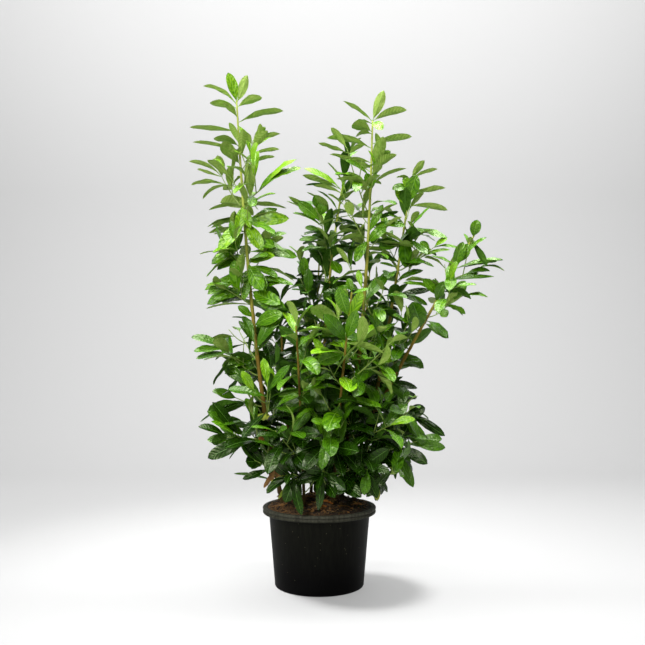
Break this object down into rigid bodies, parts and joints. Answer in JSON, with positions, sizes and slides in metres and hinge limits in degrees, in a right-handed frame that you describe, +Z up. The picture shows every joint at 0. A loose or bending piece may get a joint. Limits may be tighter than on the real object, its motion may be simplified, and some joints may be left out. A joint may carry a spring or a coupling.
{
  "type": "potted cherry laurel",
  "caption": "Upright multi-stemmed evergreen shrub with large glossy leaves, in a round black nursery pot filled with soil.",
  "frame": {"origin": "centre of the pot's flat underside, where the pot stands", "axes": "+Z up; +X to the right and +Y to the back, as seen by one who has the tallest stem on the left"},
  "size_m": [1.0182, 0.7045, 1.7261],
  "materials": {
    "pot_plastic": "moulded black polypropylene, dull, with a slightly greyer rim",
    "soil": "rough dry compost with bark chips and dead leaves",
    "bark": "smooth young bark, ochre to brown, with lenticels",
    "foliage": "leathery leaves, glossy above, matte and paler below"
  },
  "bodies": {
    "root": {"pot": "pot_plastic", "soil": "soil", "stem_left": "bark", "stem_centre": "bark", "stem_mid_back": "bark", "stem_back": "bark", "stem_right": "bark", "stem_front": "bark", "stem_front_left": "bark", "stem_back_left": "bark", "stem_back_right": "bark", "bough_far_right": "bark", "stem_left_top": "foliage", "stem_centre_top": "foliage", "stem_mid_back_top": "foliage", "stem_back_top": "foliage", "stem_right_top": "foliage", "stem_front_top": "foliage", "stem_front_left_top": "foliage", "stem_back_left_top": "foliage", "stem_back_right_top": "foliage", "bough_far_right_top": "foliage", "shoot_left_side": "foliage", "shoot_left_side_low": "foliage", "shoot_left_front": "foliage", "shoot_left_low": "foliage", "shoot_left_low_back": "foliage", "shoot_left_foot": "foliage", "shoot_centre_high": "foliage", "shoot_centre_side": "foliage", "shoot_centre_low": "foliage", "shoot_centre_foot": "foliage", "shoot_mid_back_side": "foliage", "shoot_mid_back_low": "foliage", "shoot_right_inner": "foliage", "shoot_right_side": "foliage", "shoot_right_low_back": "foliage", "shoot_right_low": "foliage", "shoot_right_foot": "foliage", "shoot_front_low": "foliage", "shoot_front_foot": "foliage", "shoot_front_left_side": "foliage", "shoot_front_left_foot": "foliage", "shoot_back_01": "foliage", "shoot_back_02": "foliage", "shoot_back_03": "foliage", "shoot_back_04": "foliage", "shoot_back_05": "foliage", "shoot_back_06": "foliage", "shoot_back_07": "foliage", "shoot_back_08": "foliage", "shoot_back_09": "foliage", "shoot_back_10": "foliage", "shoot_back_11": "foliage"}
  },
  "joints": []
}
